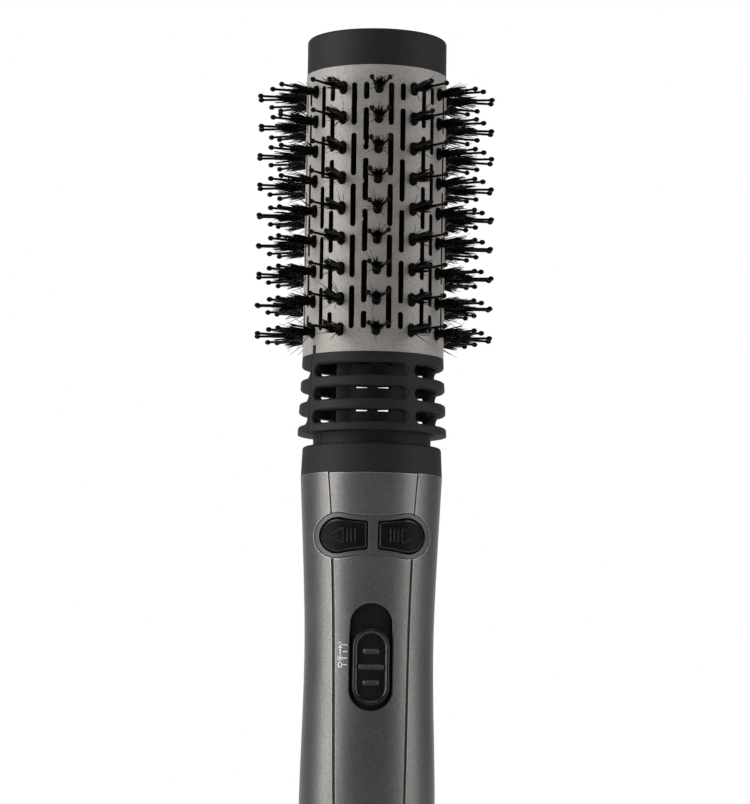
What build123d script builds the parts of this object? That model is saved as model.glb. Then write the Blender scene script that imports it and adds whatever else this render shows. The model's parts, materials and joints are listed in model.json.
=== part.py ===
from build123d import *
import math
import os

# Rotating hot air brush, standing upright on the foot of its handle.
# Millimetres. +Z runs from the foot to the tip, the controls face -Y, and the
# origin is the centre of the foot's resting face.

# Overall build, from the foot up
handle_height = 188.0
collar_height = 8.8
neck_gap = 3.7
cage_height = 23.6
barrel_length = 87.0
cap_height = 11.3

# Barrel and cap
barrel_radius = 21.5
barrel_wall = 0.8
cap_radius = 21.35
cap_wall = 1.6
cap_edge = 1.0
cap_spigot_depth = 8.0
key_width = 1.6
key_height = 2.5

# Air slots in the barrel
slot_width = 1.7
long_slot = 13.0
slot_bridge = 2.45
slot_field_start = 6.8
long_slots_per_column = 5
pattern_step = 10.0

# Bristles
columns = 12
tufts_per_column = 9
tuft_pitch = 9.19
first_tuft = 6.7
tuft_foot_width = 2.3
tuft_foot_length = 3.8
tuft_foot_gap = 0.15
tuft_foot_rise = 0.9
strip_thickness = 1.0
strip_width = 6.4
strip_end = 2.3
bristle_reach = 15.0
pin_width = 0.6
pin_root_offset = 0.55
pin_tip_offset = 2.8
brush_hair_reach = 8.6
brush_hair_width = 0.9
brush_hair_root_offset = 0.6
brush_hair_tip_offset = 1.0

# Core inside the barrel and air guide inside the cage
core_radius = 11.0
core_wall = 1.0
core_fin = 1.2
core_rail_width = 4.6
core_rail_thickness = 0.8
core_window_width = 3.2
core_window_height = 4.0
core_window_pitch = 12.0
guide_window_width = 4.4
guide_window_height = 2.5

# Vent cage and neck
cage_bottom_radius = 22.65
cage_wall = 3.0
cage_floor = 2.0
cage_slot_rows = 3
cage_slot_height = 3.74
cage_slot_pitch = 7.05
first_cage_slot = 4.3
cage_post_angle = 8.0
cage_seam_angle = -60.0
cage_slots_around = 4
rib_edge = 0.8
seam_line = 0.2
seam_depth = 0.6
neck_radius = 17.9
neck_journal_radius = 16.5
neck_bore_radius = 14.5

# Collar, bush and the ring that keeps the neck in
collar_top_radius = 21.05
collar_bottom_radius = 21.45
collar_edge = 0.8
collar_spigot_depth = 5.0
bush_wall = 1.5
retainer_height = 1.4
retainer_reach = 1.4

# Handle
handle_top_radius = 21.5
handle_shoulder_radius = 20.45
handle_shoulder_height = 166.0
handle_waist_radius = 19.5
handle_waist_height = 137.0
handle_grip_radius = 20.5
handle_grip_height = 88.0
handle_low_radius = 19.3
handle_low_height = 36.0
handle_foot_radius = 17.8
handle_wall = 2.0
foot_height = 24.0
foot_edge = 1.2

# Control fascia, let into the front of the handle
fascia_thickness = 1.2
fascia_gap = 0.3
fascia_fit = 0.1
groove_depth = 0.6
groove_width = 0.8
groove_width_above_buttons = 0.4
fascia_top_half_width = 13.2
fascia_button_half_width = 11.8
fascia_waist_half_width = 10.7
fascia_low_half_width = 9.6
fascia_low_height = 78.0
fascia_end_height = 60.0

# Direction buttons
button_height = 169.0
button_lobe_centre = 10.4
button_lobe_radius = 5.45
button_inner_edge = 1.4
button_waist_half_height = 4.3
button_corner = 0.9
button_gap = 0.45
button_rise = 0.45
button_thickness = 1.6
button_edge = 0.4
button_travel = 0.6
button_stem_radius = 1.6
bezel_lobe_radius = 6.8
bezel_waist_half_height = 5.7
bezel_depth = 0.65
bezel_rise = 0.35
bezel_edge = 0.3

# Slide switch
recess_width = 12.6
recess_bottom = 117.2
recess_top = 148.9
recess_edge = 0.3
knob_width = 10.9
knob_length = 22.6
knob_centre_height = 130.0
knob_rise = 1.3
knob_rim = 1.0
knob_sink = 0.8
knob_travel = 6.0
knob_stem_width = 2.6
knob_stem_length = 3.0
long_ridge = 7.5
short_ridge = 4.3
ridge_pitch = 4.65
ridge_thickness = 0.9
track_thickness = 0.8
track_sink = 0.3
knob_edge = 0.35
pad_thickness = 1.5
pad_margin = 2.0

# Circuit board and its switches
board_width = 22.0
board_bottom = 113.0
board_top = 174.0
board_thickness = 1.6
board_front = 11.5
board_post_radius = 2.0
board_post_spread = 8.6
board_post_heights = (116.5, 161.0)
board_screw_radius = 0.9
board_screw_head_radius = 1.8
board_screw_head_height = 1.2
tact_size = 6.0
tact_depth = 3.4
tact_spread = 7.0
plunger_radius = 1.6
plunger_height = 0.4
switch_body_width = 8.0
switch_body_bottom = 119.5
switch_body_top = 141.5
switch_body_depth = 3.2

# Screws that hold the handle halves together
shell_screw_heights = (88.0, 146.2)
shell_boss_radius = 2.6
shell_screw_radius = 1.25
shell_screw_head_radius = 2.4
shell_screw_head_height = 1.8
shell_head_wall = 0.6
shell_screw_sink = 1.2
shell_screw_length = 24.0

# Brush drive
shaft_radius = 1.5
shaft_clearance = 0.05
hub_radius = 4.0
hub_height = 4.0
hub_arm_width = 2.4
hub_rim = 2.0
plate_height = 172.0
plate_thickness = 2.0
gear_module = 0.6
output_teeth = 30
pinion_teeth = 10
gear_width = 3.0
gear_lift = 1.6
tooth_backlash = 0.16
gearbox_width = 12.0
gearbox_depth = 10.0
gearbox_height = 9.0
spin_motor_height = 12.0
spin_motor_edge = 2.0

# Heater
heater_offset = 5.0
heater_bottom = 92.0
heater_top = 142.0
sleeve_radius = 11.0
sleeve_wall = 0.5
mica_thickness = 0.8
coil_radius = 9.0
coil_wire_radius = 0.5
coil_pitch = 5.0
mount_thickness = 2.0

# Blower
blower_radius = 12.0
blower_bottom = 50.0
blower_height = 28.0
blower_edge = 1.5
cradle_bottom = 52.0
cradle_height = 24.0
cradle_wall = 1.4
vane_count = 6
vane_thickness = 1.4
fan_bottom = 34.0
fan_height = 9.0
fan_blades = 7
fan_hub_radius = 5.0
fan_tip_gap = 1.0
fan_blade_thickness = 1.2
fan_blade_angle = 35.0
fan_shaft_radius = 1.0

# Air inlet at the foot and the cord swivel
inlet_slots = 24
inlet_slot_width = 1.8
inlet_slot_height = 11.0
inlet_slot_bottom = 7.0
foot_wall = 2.0
foot_floor = 2.0
foot_recess = 1.5
foot_lap = 4.0
foot_lap_wall = 1.6
standing_rim_width = 2.6
filter_thickness = 0.8
filter_height = 21.5
filter_hole_radius = 1.2
filter_hole_pitch = 3.4
swivel_radius = 5.5
swivel_flange_radius = 7.5
swivel_flange_height = 0.8
swivel_length = 15.0
swivel_clip_radius = 7.0
swivel_clip_height = 1.5
cord_hole_radius = 3.4

# Clearances
running_gap = 0.08
seat_gap = 0.05
free_gap = 0.3

# Heights that follow from the sizes above
collar_top = handle_height + collar_height
cage_bottom = collar_top + neck_gap
cage_top = cage_bottom + cage_height
barrel_top = cage_top + barrel_length
tip_height = barrel_top + cap_height
barrel_bore = barrel_radius - barrel_wall
spigot_radius = barrel_bore - 0.1
cage_bore = barrel_radius - cage_wall + 0.6
strip_outer = barrel_bore - 0.2
strip_inner = strip_outer - strip_thickness
strip_bottom = cage_top + first_tuft - strip_end
tuft_top = cage_top + first_tuft + (tufts_per_column - 1) * tuft_pitch
strip_top = tuft_top + strip_end
spigot_depth = first_tuft - strip_end - free_gap
short_slot = (long_slot - slot_bridge) / 2
cap_guide_bottom = barrel_top - cap_spigot_depth
hub_bottom = cage_top + (spigot_depth - hub_height) / 2
hub_top = hub_bottom + hub_height
bristle_tip = barrel_radius + bristle_reach
collar_bore = neck_journal_radius + running_gap + bush_wall + seat_gap
plate_top = plate_height + plate_thickness
mesh_distance = gear_module * (output_teeth + pinion_teeth) / 2
motor_offset = mesh_distance
board_back = board_front - board_thickness


def handle_radius_points(inset):
    """The handle's side line from foot to top, moved inwards by inset."""
    return [
        (handle_foot_radius - inset, 0),
        (handle_low_radius - inset, handle_low_height),
        (handle_grip_radius - inset, handle_grip_height),
        (handle_waist_radius - inset, handle_waist_height),
        (handle_shoulder_radius - inset, handle_shoulder_height),
        (handle_top_radius - inset, handle_height),
    ]


def handle_body(inset, bottom=0.0, top=handle_height):
    """The round handle as a solid, inset from its outer face, between two heights."""
    side = Spline(*handle_radius_points(inset))
    profile = make_face(
        [
            Line((0, 0), (handle_foot_radius - inset, 0)),
            side,
            Line((handle_top_radius - inset, handle_height), (0, handle_height)),
            Line((0, handle_height), (0, 0)),
        ]
    )
    body = revolve(Plane.XZ * profile, Axis.Z)
    if bottom <= 0.0 and top >= handle_height:
        return body
    return body & slab(bottom, top, 2 * handle_top_radius)


def slab(bottom, top, half_width):
    """A wide block between two heights."""
    return Pos(0, 0, (bottom + top) / 2) * Box(2 * half_width, 2 * half_width, top - bottom)


def post(radius, bottom, top, x=0.0, y=0.0):
    """An upright cylinder between two heights."""
    return Pos(x, y, (bottom + top) / 2) * Cylinder(radius, top - bottom)


def tube(outer, inner, bottom, top, x=0.0, y=0.0):
    """An upright tube between two heights."""
    return post(outer, bottom, top, x, y) - post(inner, bottom - 1, top + 1, x, y)


def front_post(radius, x, z, near, far):
    """A cylinder along Y; near and far are distances in front of the axis."""
    return Pos(x, -(near + far) / 2, z) * Rot(90, 0, 0) * Cylinder(radius, far - near)


def front_prism(outline, near=4.0, far=30.0):
    """A face drawn across X and height, swept from near to far in front of the axis."""
    placed = Plane(origin=(0, -near, 0), x_dir=(1, 0, 0), z_dir=(0, -1, 0)) * outline
    return extrude(placed, far - near)


def stadium(width, bottom, top):
    """An upright slot outline with round ends."""
    length = top - bottom
    return Pos(0, (bottom + top) / 2) * SlotOverall(length, width, rotation=90)


def bow_tie(lobe_radius, waist_half):
    """Two round lobes joined by arcs that dip to the waist in the middle."""
    dip = (button_lobe_centre**2 + waist_half**2 - lobe_radius**2) / (2 * (lobe_radius - waist_half))
    arc_height = waist_half + dip
    reach = math.hypot(button_lobe_centre, arc_height)
    tx = button_lobe_centre * (1 - lobe_radius / reach)
    ty = lobe_radius * arc_height / reach
    outer_x = button_lobe_centre + lobe_radius
    outline = make_face(
        [
            ThreePointArc((-tx, ty), (0, waist_half), (tx, ty)),
            ThreePointArc((tx, ty), (outer_x, 0), (tx, -ty)),
            ThreePointArc((tx, -ty), (0, -waist_half), (-tx, -ty)),
            ThreePointArc((-tx, -ty), (-outer_x, 0), (-tx, ty)),
        ]
    )
    return Pos(0, button_height) * outline


def button_outline(inset):
    """The right-hand button's opening, shrunk by inset."""
    whole = bow_tie(button_lobe_radius - inset, button_waist_half_height - inset)
    inner_x = button_inner_edge + inset
    width = 2 * button_lobe_centre
    half = Pos(inner_x + width / 2, button_height) * Rectangle(width, 4 * button_lobe_radius)
    shape = whole & half
    corners = shape.vertices().sort_by(Axis.X)[:2]
    return fillet(corners, button_corner - inset / 2)


def bezel_outline(grow):
    """The bow-tie outline of the frame round both buttons."""
    return bow_tie(bezel_lobe_radius + grow, bezel_waist_half_height + grow)


def fascia_outline(inset):
    """The control fascia: widest at the top, with a round lower end."""
    side_points = [
        (fascia_top_half_width - inset, handle_height),
        (fascia_button_half_width - inset, button_height),
        (fascia_waist_half_width - inset, handle_waist_height),
        (fascia_low_half_width - inset, fascia_low_height),
    ]
    right = Spline(*side_points)
    left = Spline(*[(-x, z) for x, z in side_points])
    low_x = fascia_low_half_width - inset
    top_x = fascia_top_half_width - inset
    end = fascia_end_height + inset
    return make_face(
        [
            Line((-top_x, handle_height), (top_x, handle_height)),
            right,
            ThreePointArc((low_x, fascia_low_height), (0, end), (-low_x, fascia_low_height)),
            left,
        ]
    )


def barrel_opening(length, centre_height, angle):
    """One air slot through the barrel's wall."""
    outline = Pos(0, centre_height) * SlotOverall(length, slot_width, rotation=90)
    tool = front_prism(outline, barrel_bore - 2, barrel_radius + 2)
    return Rot(0, 0, angle) * tool


def long_slot_column(angle):
    """A column of equal long slots."""
    period = long_slot + slot_bridge
    first = cage_top + slot_field_start + long_slot / 2
    return [
        barrel_opening(long_slot, first + row * period, angle)
        for row in range(long_slots_per_column)
    ]


def short_ended_column(angle):
    """A column shifted half a period, closed by a short slot at each end."""
    period = long_slot + slot_bridge
    start = cage_top + slot_field_start
    first = start + short_slot + slot_bridge + long_slot / 2
    tools = [
        barrel_opening(long_slot, first + row * period, angle)
        for row in range(long_slots_per_column - 1)
    ]
    field = long_slots_per_column * period - slot_bridge
    tools.append(barrel_opening(short_slot, start + short_slot / 2, angle))
    tools.append(barrel_opening(short_slot, start + field - short_slot / 2, angle))
    return tools


def tuft_heights():
    """Heights of the tufts in a column."""
    return [cage_top + first_tuft + row * tuft_pitch for row in range(tufts_per_column)]


def tuft_foot_outline(height, grow):
    """The upright oval that a tuft stands on, grown by some clearance."""
    length = tuft_foot_length + 2 * grow
    return stadium(tuft_foot_width + 2 * grow, height - length / 2, height + length / 2)


def key_angle():
    """Where the cage's key sits, just inside the front half's seam."""
    return cage_seam_angle + math.degrees((key_width / 2 + 0.1) / spigot_radius)


def make_barrel():
    """The perforated tube that the bristles come through."""
    wall = tube(barrel_radius, barrel_bore, cage_top, barrel_top)
    tools = []
    for column in range(columns):
        angle = column * 360 / columns
        for height in tuft_heights():
            hole = front_prism(tuft_foot_outline(height, tuft_foot_gap), barrel_bore - 2, barrel_radius + 2)
            tools.append(Rot(0, 0, angle) * hole)
        tools += long_slot_column(angle + pattern_step)
        tools += short_ended_column(angle + 2 * pattern_step)
    notch = Pos(0, -barrel_bore, cage_top) * Box(key_width + 0.2, 6, 2 * (key_height + 0.1))
    tools.append(Rot(0, 0, key_angle()) * notch)
    return wall.cut(*tools)


def strand(root, tip, root_width, tip_width):
    """A four-sided bristle that narrows from root to tip."""
    direction = Vector(*tip) - Vector(*root)
    root_plane = Plane(origin=root, x_dir=(1, 0, 0), z_dir=direction)
    tip_plane = Plane(origin=tip, x_dir=(1, 0, 0), z_dir=direction)
    root_face = root_plane * Rectangle(root_width, root_width)
    tip_face = tip_plane * Rectangle(tip_width, tip_width)
    return loft([root_face.face(), tip_face.face()], ruled=True)


def tuft_strands(height):
    """Two stiff pins splayed sideways and two bundles of brush hair."""
    root = -(barrel_radius - 0.4)
    strands = []
    for side in (-1, 1):
        pin_root = (side * pin_root_offset, root, height)
        pin_tip = (side * pin_tip_offset, -bristle_tip, height)
        strands.append(strand(pin_root, pin_tip, pin_width, pin_width))
        hair_root = (0, root, height + side * brush_hair_root_offset)
        hair_tip = (0, -barrel_radius - brush_hair_reach, height + side * brush_hair_tip_offset)
        strands.append(strand(hair_root, hair_tip, brush_hair_width, brush_hair_width / 2))
    return strands


def make_bristle_strip():
    """One column of tufts on its curved backing, at the front of the barrel."""
    half_angle = math.degrees(strip_width / 2 / strip_outer)
    ring = tube(strip_outer, strip_inner, strip_bottom, strip_top)
    wedge = make_face(
        Polyline(
            (0, 0),
            (-40 * math.sin(math.radians(half_angle)), -40 * math.cos(math.radians(half_angle))),
            (40 * math.sin(math.radians(half_angle)), -40 * math.cos(math.radians(half_angle))),
            close=True,
        )
    )
    backing = ring & extrude(Pos(0, 0, strip_bottom) * wedge, strip_top - strip_bottom)
    additions = []
    for height in tuft_heights():
        foot = tuft_foot_outline(height, 0)
        additions.append(front_prism(foot, strip_inner + 0.3, barrel_radius + tuft_foot_rise))
        additions += tuft_strands(height)
    return backing.fuse(*additions)


def make_end_cap():
    """The closed cool tip, with a spigot into the barrel and a socket for the shaft."""
    outside = post(cap_radius, barrel_top, tip_height)
    outside = fillet(outside.edges().group_by(Axis.Z)[-1], cap_edge)
    cup = outside - post(cap_radius - cap_wall, barrel_top - 1, tip_height - cap_wall)
    seat_bottom = strip_top + 0.3
    seat = tube(spigot_radius, spigot_radius - cap_wall, seat_bottom, barrel_top + 0.5)
    inner_radius = strip_inner - 0.1
    guide = tube(inner_radius, spigot_radius - cap_wall - 0.6, cap_guide_bottom, seat_bottom + 1)
    socket = post(hub_radius, cap_guide_bottom, tip_height - cap_wall / 2)
    bore = post(shaft_radius + 0.02, cap_guide_bottom - 1, tip_height - cap_wall - 2)
    return cup + seat + guide + socket - bore


def cage_slot_tool():
    """One row's slot between two posts, with round ends, about the front."""
    span = 360 / cage_slots_around - cage_post_angle
    half_height = cage_slot_height / 2
    reach = cage_bottom_radius + 3
    end_angle = math.degrees(half_height / barrel_radius)
    straight = span - 2 * end_angle
    section = Pos((reach + cage_bore - 3) / 2, 0) * Rectangle(reach - cage_bore + 3, cage_slot_height)
    middle = revolve(Plane.XZ * section, Axis.Z, revolution_arc=straight)
    middle = Rot(0, 0, -90 - straight / 2) * middle
    end = front_post(half_height, 0, 0, cage_bore - 3, reach)
    tool = middle
    for side in (-1, 1):
        tool += Rot(0, 0, side * straight / 2) * end
    return tool


def make_cage_halves():
    """The vent cage with the neck below it, split along its posts into two halves."""
    profile = make_face(
        Polyline(
            (neck_bore_radius, journal_bottom()),
            (neck_journal_radius, journal_bottom()),
            (neck_journal_radius, collar_top - 0.7),
            (neck_radius, collar_top - 0.7),
            (neck_radius, cage_bottom),
            (cage_bottom_radius, cage_bottom),
            (barrel_radius, cage_top),
            (spigot_radius, cage_top),
            (spigot_radius, cage_top + spigot_depth),
            (cage_bore, cage_top + spigot_depth),
            (cage_bore, cage_bottom + cage_floor),
            (neck_bore_radius, cage_bottom + cage_floor),
            close=True,
        )
    )
    body = revolve(Plane.XZ * profile, Axis.Z)
    slot = cage_slot_tool()
    tools = []
    first_slot_angle = cage_seam_angle + 180 / cage_slots_around
    for row in range(cage_slot_rows):
        height = cage_bottom + first_cage_slot + row * cage_slot_pitch
        for index in range(cage_slots_around):
            angle = first_slot_angle + index * 360 / cage_slots_around
            tools.append(Rot(0, 0, angle) * Pos(0, 0, height) * slot)
    body = body.cut(*tools)
    outer_edges = [
        edge
        for edge in body.edges()
        if cage_bottom + 1 < edge.center().Z < cage_top - 0.3
        and edge_radius(edge) > barrel_radius - 0.05
        and edge.length > 1.0
    ]
    body = fillet(outer_edges, rib_edge)
    half_space = Pos(0, -60, cage_top) * Box(240, 120, 240)
    front_turn = cage_seam_angle + 90
    front = body & (Rot(0, 0, front_turn) * half_space)
    rear = body - (Rot(0, 0, front_turn) * Pos(0, seam_line, 0) * half_space)
    key_depth = barrel_radius - spigot_radius - 0.1
    key = Pos(0, -(spigot_radius + 0.05 + key_depth / 2), cage_top + key_height / 2 - 0.5)
    key = key * Box(key_width, key_depth, key_height + 1.0)
    front = front + Rot(0, 0, key_angle()) * key
    return front, rear


def edge_radius(edge):
    """How far an edge's middle lies from the axis."""
    middle = edge.position_at(0.5)
    return math.hypot(middle.X, middle.Y)


def journal_bottom():
    """Where the neck ends, below its retaining ring."""
    return handle_height - collar_spigot_depth - retainer_height - 2.0


def radial_window(width, height, angle, centre_height):
    """A rectangular window through the core's tube."""
    outline = Pos(0, centre_height) * Rectangle(width, height)
    return Rot(0, 0, angle) * front_prism(outline, core_radius - core_wall - 1, core_radius + 1)


def make_barrel_hub():
    """The spider that carries the barrel on the shaft, with the air guide hanging from it."""
    rim = tube(cage_bore - 0.1, cage_bore - 0.1 - hub_rim, hub_bottom, hub_top)
    hub = post(hub_radius, hub_bottom, hub_top)
    middle = (hub_bottom + hub_top) / 2
    arm = Pos(0, 0, middle) * Box(2 * (cage_bore - hub_rim / 2), hub_arm_width, hub_height)
    guide = tube(core_radius, core_radius - core_wall, cage_bottom + cage_floor, hub_top)
    windows = []
    for row in range(cage_slot_rows):
        height = cage_bottom + first_cage_slot + (row + 0.5) * cage_slot_pitch
        for side in (-1, 1):
            turn = math.degrees(side * guide_window_width / core_radius * 0.8)
            for facing in (0, 180):
                window = (guide_window_width, guide_window_height, facing + turn, height)
                windows.append(radial_window(*window))
    guide -= windows
    spider = rim + hub + arm + Rot(0, 0, 90) * arm + guide
    return spider - post(shaft_radius + 0.02, hub_bottom - 1, hub_top + 1)


def make_brush_core():
    """The finned tube that backs the bristle strips and lets the hot air out between them."""
    bottom = max(hub_top, cage_top + spigot_depth) + seat_gap
    top = cap_guide_bottom - free_gap
    rail_radius = strip_inner - seat_gap
    section = Circle(core_radius) - Circle(core_radius - core_wall)
    rim = Circle(rail_radius) - Circle(rail_radius - core_rail_thickness)
    rail = rim & Pos(0, -rail_radius) * Rectangle(core_rail_width, 4)
    fin_inner = core_radius - core_wall / 2
    fin_outer = rail_radius - core_rail_thickness / 2
    fin = Pos(0, -(fin_inner + fin_outer) / 2) * Rectangle(core_fin, fin_outer - fin_inner)
    for column in range(columns):
        section += Rot(0, 0, column * 360 / columns) * (fin + rail)
    core = extrude(Pos(0, 0, bottom) * section, top - bottom)
    windows = []
    rows = int((top - bottom) / core_window_pitch)
    for column in range(columns):
        angle = (column + 0.5) * 360 / columns
        lift = core_window_pitch / 2 * (1 + column % 2)
        for row in range(rows):
            height = bottom + lift + row * core_window_pitch
            windows.append(radial_window(core_window_width, core_window_height, angle, height))
    return core.cut(*windows)


def make_drive_shaft():
    """The steel shaft from the gear plate to the cap."""
    bottom = plate_height - 2.0
    return post(shaft_radius, bottom, tip_height - cap_wall - 2.5)


def gear_face(teeth):
    """A spur gear's outline with straight-flanked teeth and backlash."""
    pitch_radius = gear_module * teeth / 2
    tip_radius = pitch_radius + 0.9 * gear_module
    root_radius = pitch_radius - 1.15 * gear_module
    tooth_angle = 2 * math.pi / teeth
    half_pitch = (math.pi * gear_module / 2 - tooth_backlash) / 2
    half_tip = half_pitch - 0.9 * gear_module * math.tan(math.radians(22))
    half_root = half_pitch + 1.15 * gear_module * math.tan(math.radians(14))
    points = []
    for tooth in range(teeth):
        centre = tooth * tooth_angle
        for radius, half in (
            (root_radius, -half_root),
            (pitch_radius, -half_pitch),
            (tip_radius, -half_tip),
            (tip_radius, half_tip),
            (pitch_radius, half_pitch),
            (root_radius, half_root),
        ):
            angle = centre + half / radius
            points.append((radius * math.cos(angle), radius * math.sin(angle)))
    return make_face(Polyline(*points, close=True))


def gear_bottom():
    """Height of both gears' lower faces."""
    return plate_top + gear_lift


def make_output_gear():
    """The large gear on the drive shaft."""
    bottom = gear_bottom()
    half_step = 180 / output_teeth
    face = Rot(0, 0, 90 + half_step) * gear_face(output_teeth)
    gear = extrude(Pos(0, 0, bottom) * face, gear_width)
    boss = post(hub_radius, bottom + gear_width, bottom + gear_width + 1.2)
    return gear + boss - post(shaft_radius + 0.02, bottom - 1, bottom + gear_width + 3)


def make_drive_pinion():
    """The pinion and its shaft, which turns the large gear."""
    bottom = gear_bottom()
    face = Rot(0, 0, -90) * gear_face(pinion_teeth)
    teeth = extrude(Pos(0, 0, bottom) * face, gear_width)
    stub = post(shaft_radius, plate_height - 2.0, bottom + gear_width)
    return Pos(0, motor_offset, 0) * (teeth + stub)


def make_gear_plate():
    """The bulkhead that carries the gearbox and the shaft's lower bush."""
    plate = handle_body(handle_wall + seat_gap, plate_height, plate_top)
    plate -= Pos(0, -board_back - 20 + 1.0, plate_height) * Box(80, 40, 20)
    for side in (-1, 1):
        window = tube(16.0, 5.0, plate_height - 1, plate_top + 1)
        window &= Pos(side * 14.5, 0, plate_height) * Box(16, 13, 20)
        plate -= window
    plate -= post(bush_radius(), plate_height - 1, plate_top + 1)
    plate -= post(shaft_radius + free_gap, plate_height - 1, plate_top + 1, 0, motor_offset)
    return plate


def bush_radius():
    """Outer radius of the shaft's bush."""
    return shaft_radius + 1.5


def make_shaft_bush():
    """The flanged bush that the drive shaft turns in."""
    body = post(bush_radius() - 0.02, plate_height, plate_top)
    flange = post(bush_radius() + 1.0, plate_top, plate_top + 1.0)
    return body + flange - post(shaft_radius + shaft_clearance, plate_height - 1, plate_top + 2)


def rounded_block(width, depth, bottom, top, edge, y):
    """An upright block with round corners."""
    block = Pos(0, y, (bottom + top) / 2) * Box(width, depth, top - bottom)
    return fillet(block.edges().filter_by(Axis.Z), edge)


def make_spin_gearbox():
    """The small reduction gearbox under the gear plate."""
    bottom = plate_height - gearbox_height
    block = rounded_block(gearbox_width, gearbox_depth, bottom, plate_height, 0.8, motor_offset)
    bore = post(shaft_radius + shaft_clearance, plate_height - 2.5, plate_height + 1, 0, motor_offset)
    return block - bore


def make_spin_motor():
    """The can of the motor that turns the brush."""
    top = plate_height - gearbox_height
    bottom = top - spin_motor_height
    can = rounded_block(gearbox_width, gearbox_depth, bottom, top, spin_motor_edge, motor_offset)
    tail = post(shaft_radius, bottom - 1.0, bottom, 0, motor_offset)
    return can + tail


def make_neck_retainer():
    """The ring on the end of the neck that keeps it in the collar."""
    top = handle_height - collar_spigot_depth - 0.4
    return tube(
        neck_journal_radius + retainer_reach,
        neck_journal_radius + 0.02,
        top - retainer_height,
        top,
    )


def make_neck_bush():
    """The plain bearing between the neck and the collar."""
    outer = collar_bore - seat_gap
    inner = neck_journal_radius + running_gap
    return tube(outer, inner, handle_height - collar_spigot_depth, collar_top - 1.2)


def make_top_collar():
    """The dark collar that closes the top of the handle."""
    spigot_outer = handle_radius_low() - handle_wall - 0.15
    profile = make_face(
        Polyline(
            (collar_bore, handle_height - collar_spigot_depth),
            (spigot_outer, handle_height - collar_spigot_depth),
            (spigot_outer, handle_height),
            (collar_bottom_radius, handle_height),
            (collar_top_radius, collar_top),
            (collar_bore, collar_top),
            close=True,
        )
    )
    ring = revolve(Plane.XZ * profile, Axis.Z)
    top_edges = [e for e in ring.edges().group_by(Axis.Z)[-1] if edge_radius(e) > collar_bore + 1]
    return fillet(top_edges, collar_edge)


def handle_radius_low():
    """The handle's outer radius at the collar's spigot, taken at the spigot's lower end."""
    rise = (handle_top_radius - handle_shoulder_radius) / (handle_height - handle_shoulder_height)
    return handle_top_radius - rise * collar_spigot_depth


def fascia_pocket():
    """The pocket that the fascia lies in, with a shallow groove round its edge."""
    outside = handle_body(-2.0)
    seat = outside - handle_body(fascia_thickness + fascia_gap)
    seat &= front_prism(fascia_outline(-fascia_fit), 2.0, 30.0)
    outline = front_prism(fascia_outline(-groove_width), 2.0, 30.0)
    outline &= slab(0, button_height, 60)
    outline += front_prism(fascia_outline(-groove_width_above_buttons), 2.0, 30.0)
    return seat + ((outside - handle_body(groove_depth)) & outline)


def make_front_shell():
    """The front half of the handle, with pockets and posts for the controls."""
    shell = handle_body(0, foot_height) - handle_body(handle_wall)
    pad = (handle_body(handle_wall - 0.1) - handle_body(pad_inset())) & front_prism(pad_outline())
    shell += pad
    posts = []
    for side in (-1, 1):
        for height in board_post_heights:
            posts.append(front_post(board_post_radius, side * board_post_spread, height, board_front, 30))
    for height in shell_screw_heights:
        posts.append(front_post(shell_boss_radius, 0, height, 0, 30))
    carved = handle_body(fascia_thickness + fascia_gap + 0.2)
    for item in posts:
        shell += item & carved
    shell &= Pos(0, -50, handle_height / 2) * Box(200, 100, 400)
    shell -= fascia_pocket()
    shell -= front_prism(bezel_outline(0.2)) & (handle_body(-2) - handle_body(bezel_depth + 0.1))
    opening = button_outline(0)
    shell -= front_prism(opening)
    shell -= front_prism(mirror(opening, Plane.YZ))
    shell -= front_prism(track_outline(0.2)) & (handle_body(-2) - handle_body(track_inset() + 0.05))
    shell -= front_prism(stem_slot())
    for side in (-1, 1):
        for height in board_post_heights:
            shell -= front_post(board_screw_radius + 0.05, side * board_post_spread, height, 0, 16.0)
    for height in shell_screw_heights:
        shell -= front_post(shell_screw_radius + 0.05, 0, height, -1, shell_screw_tip() + 0.5)
    return shell


def track_inset():
    """Depth of the track plate's back face below the handle's surface."""
    return fascia_thickness + track_sink + track_thickness


def pad_inset():
    """Depth of the thick pad behind the slide switch."""
    return track_inset() + pad_thickness


def track_outline(grow):
    """The slide switch's track plate."""
    edge = grow + 1.0
    return stadium(recess_width + 2 * edge, recess_bottom - edge, recess_top + edge)


def pad_outline():
    """The pad behind the track plate."""
    edge = pad_margin + 1.0
    return stadium(recess_width + 2 * edge, recess_bottom - edge, recess_top + edge)


def stem_slot():
    """The slot that the knob's stem moves in."""
    bottom = knob_centre_height - knob_stem_length / 2 - 0.6
    top = knob_centre_height + knob_stem_length / 2 + knob_travel + 0.6
    return Pos(0, (bottom + top) / 2) * Rectangle(knob_stem_width + 0.8, top - bottom)


def shell_screw_tip():
    """How far in front of the axis the handle's screws end."""
    head_back = handle_waist_radius - shell_screw_sink - shell_screw_head_height
    return shell_screw_length - head_back


def shell_screw_head_face():
    """How far behind the axis the screws' heads bear on the rear half."""
    return handle_waist_radius - shell_screw_sink - shell_screw_head_height


def make_rear_shell():
    """The rear half of the handle, with the screws' bosses."""
    shell = handle_body(0, foot_height) - handle_body(handle_wall)
    carved = handle_body(0.5)
    boss_radius = shell_screw_head_radius + 0.2 + shell_head_wall
    for height in shell_screw_heights:
        shell += front_post(boss_radius, 0, height, -30, 0) & carved
    shell &= Pos(0, 50, handle_height / 2) * Box(200, 100, 400)
    rim = handle_body(-2.0) - handle_body(seam_depth)
    shell -= rim & (Pos(0, seam_line / 2, handle_height / 2) * Box(200, seam_line, 400))
    for height in shell_screw_heights:
        shell -= front_post(shell_screw_radius + 0.15, 0, height, -30, 1)
        shell -= front_post(shell_screw_head_radius + 0.2, 0, height, -30, -shell_screw_head_face())
    return shell


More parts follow.
